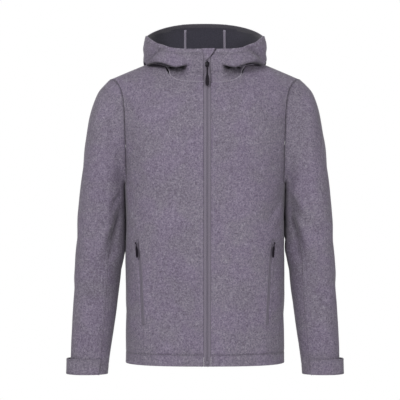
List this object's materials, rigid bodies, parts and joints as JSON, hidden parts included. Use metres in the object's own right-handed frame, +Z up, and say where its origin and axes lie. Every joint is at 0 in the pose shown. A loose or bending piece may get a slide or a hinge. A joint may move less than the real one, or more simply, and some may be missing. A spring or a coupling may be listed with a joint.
{
  "type": "hooded softshell jacket",
  "caption": "Zip-front hooded jacket in bonded heather softshell, filled out as worn and hollow, hood down behind the neck, zipped side pockets and adjustable cuff tabs.",
  "frame": {"origin": "centre of the wearer's neck at the height of the high points of the shoulders, where the jacket is carried", "axes": "+Z up, the jacket's front and zip face -Y, the wearer's left side is at +X"},
  "size_m": [0.6626, 0.3041, 0.8554],
  "materials": {
    "softshell": "matte woven heather outside, dark grey brushed knit inside",
    "zip_tape": "matte woven tape with moulded teeth",
    "seam_tape": "smooth satin tape",
    "slider": "satin dark enamel",
    "pull": "matte moulded rubber"
  },
  "bodies": {
    "jacket": {"back": "softshell", "hood_centre": "softshell", "front_left": "softshell", "front_right": "softshell", "side_left": "softshell", "side_right": "softshell", "sleeve_upper_left": "softshell", "sleeve_upper_right": "softshell", "sleeve_under_left": "softshell", "sleeve_under_right": "softshell", "hood_side_left": "softshell", "hood_side_right": "softshell", "cuff_tab_left": "softshell", "cuff_tab_right": "softshell", "zip_garage": "softshell", "zip_main": "zip_tape", "pocket_zip_left": "zip_tape", "pocket_zip_right": "zip_tape", "hood_tape_left": "seam_tape", "hood_tape_right": "seam_tape", "zip_main_slider": "slider", "pocket_left_slider": "slider", "pocket_right_slider": "slider"},
    "main_pull": {"zip_main_pull": "pull"},
    "left_pocket_pull": {"pocket_left_pull": "pull"},
    "right_pocket_pull": {"pocket_right_pull": "pull"}
  },
  "joints": [
    {"name": "main_pull_hinge", "type": "hinge", "parent": "jacket", "child": "main_pull", "pos_m": [0.005, -0.10929, -0.02501], "axis": [-1, 0, 0], "range_deg": [0, 150]},
    {"name": "left_pocket_pull_hinge", "type": "hinge", "parent": "jacket", "child": "left_pocket_pull", "pos_m": [0.16275, -0.09181, -0.44015], "axis": [-0.7522, -0.6589, 0], "range_deg": [0, 150]},
    {"name": "right_pocket_pull_hinge", "type": "hinge", "parent": "jacket", "child": "right_pocket_pull", "pos_m": [-0.16275, -0.09181, -0.44015], "axis": [-0.7522, 0.6589, 0], "range_deg": [0, 150]}
  ]
}
